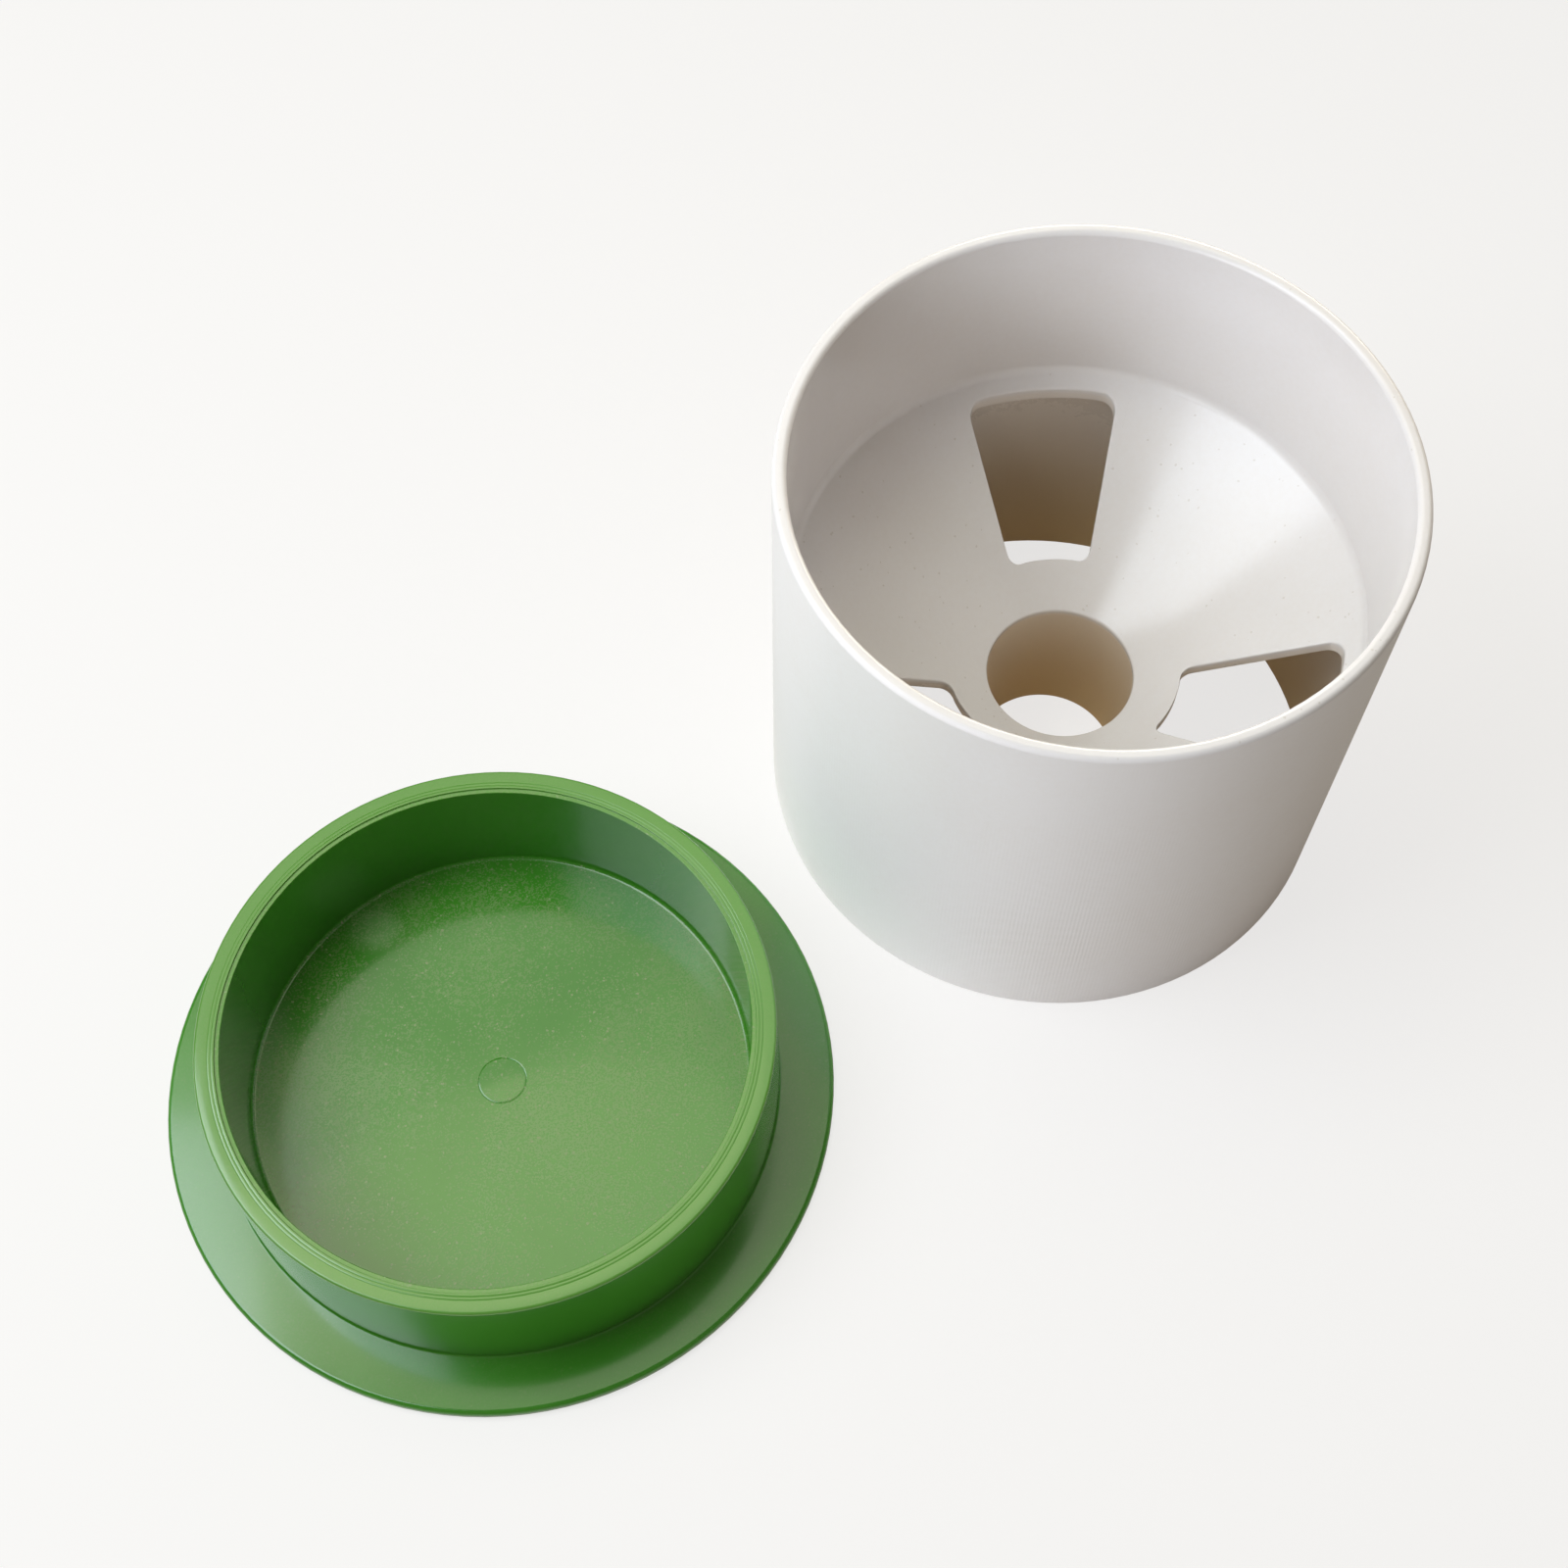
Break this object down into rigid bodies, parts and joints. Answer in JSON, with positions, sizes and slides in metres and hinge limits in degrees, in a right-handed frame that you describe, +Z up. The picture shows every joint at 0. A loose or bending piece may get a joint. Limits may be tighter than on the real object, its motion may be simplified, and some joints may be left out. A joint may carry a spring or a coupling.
{
  "type": "golf hole cup with cover",
  "caption": "Round open cup with a windowed funnel floor around a central bore, and a flat flanged lid with a deep locating ring lying beside it.",
  "frame": {"origin": "on the axis of the flagstick bore, in the plane of the cup's base, which is the floor that cup and cover rest on", "axes": "+Z up along the bore and out of the cup's mouth; the cover lies along -X, in line with one drain window; the XZ plane is a mirror plane"},
  "size_m": [0.2407, 0.1226, 0.0945],
  "materials": {
    "cup_plastic": "glossy off-white moulded plastic",
    "cover_plastic": "glossy green moulded plastic"
  },
  "bodies": {
    "cup": {"hole_cup": "cup_plastic"},
    "cover": {"cup_cover": "cover_plastic"}
  },
  "joints": [
    {"name": "cover_lift", "type": "slide", "parent": "cup", "child": "cover", "axis": [0, 0, 1], "range_m": [0, 0.12]}
  ]
}
